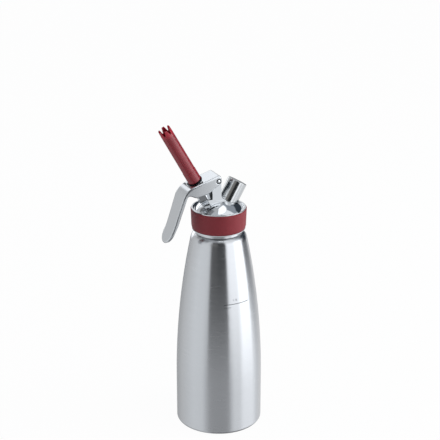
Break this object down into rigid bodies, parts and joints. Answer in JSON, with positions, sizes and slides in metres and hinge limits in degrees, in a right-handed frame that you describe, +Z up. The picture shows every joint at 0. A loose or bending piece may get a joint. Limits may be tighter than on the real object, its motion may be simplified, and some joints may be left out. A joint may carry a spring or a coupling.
{
  "type": "whipped cream dispenser",
  "caption": "Tall brushed steel bottle with a screwed head that carries a squeeze lever, a sprung valve with a red fluted tip, and a capped charger inlet.",
  "frame": {"origin": "centre of the bottle's base, on the surface that it stands on", "axes": "+Z up along the bottle's axis; -X towards the lever's handle and the decorator tip, +X towards the charger inlet; Y = 0 is the head's plane of symmetry"},
  "size_m": [0.1171, 0.096, 0.3539],
  "materials": {
    "bottle_steel": "circumferentially brushed",
    "polished_steel": "polished",
    "lever_steel": "satin",
    "inner_steel": "machined",
    "band_silicone": "matte",
    "tip_plastic": "glossy",
    "seal_rubber": "matte",
    "cap_seal": "matte"
  },
  "bodies": {
    "bottle": {"bottle": "bottle_steel"},
    "head": {"head_body": "polished_steel", "grip_band": "band_silicone", "head_gasket": "band_silicone", "pivot_pin": "polished_steel", "stem_guide": "inner_steel", "guide_gasket": "seal_rubber", "valve_spring": "inner_steel", "charger_inlet": "polished_steel", "inlet_gasket": "seal_rubber", "piercing_pin": "inner_steel", "charger_gasket": "seal_rubber", "check_spring": "inner_steel", "check_retainer": "inner_steel"},
    "lever": {"lever": "lever_steel"},
    "valve": {"valve_stem": "inner_steel", "stem_o_rings": "seal_rubber", "valve_seal": "seal_rubber", "stem_collar": "inner_steel", "tip_adapter": "polished_steel", "adapter_o_ring": "seal_rubber"},
    "tip": {"decorator_tip": "tip_plastic"},
    "cap": {"protective_cap": "polished_steel", "cap_liner": "cap_seal"},
    "check": {"check_ball": "inner_steel"}
  },
  "joints": [
    {"name": "head_lift", "type": "slide", "parent": "bottle", "child": "head", "axis": [0, 0, 1], "range_m": [0, 0.06]},
    {"name": "lever_squeeze", "type": "hinge", "parent": "head", "child": "lever", "pos_m": [-0.0053, 0, 0.2881], "axis": [0, -1, 0], "range_deg": [0, 12], "stiffness_Nm_per_rad": 1.5, "springref_deg": -8.59},
    {"name": "valve_slide", "type": "slide", "parent": "head", "child": "valve", "axis": [0.4924, 0, -0.8704], "range_m": [0, 0.00232], "deforming": ["valve_spring"]},
    {"name": "tip_lift", "type": "slide", "parent": "valve", "child": "tip", "axis": [-0.4924, 0, 0.8704], "range_m": [0, 0.03]},
    {"name": "cap_lift", "type": "slide", "parent": "head", "child": "cap", "axis": [0.5, 0, 0.866], "range_m": [0, 0.035]},
    {"name": "check_open", "type": "slide", "parent": "head", "child": "check", "axis": [-0.5, 0, -0.866], "range_m": [0, 0.0008], "stiffness_N_per_m": 50, "springref_m": -0.002, "deforming": ["check_spring"]}
  ],
  "couplings": [
    {"joint": "valve_slide", "follows": "lever_squeeze", "m_per_rad": 0.01108}
  ]
}
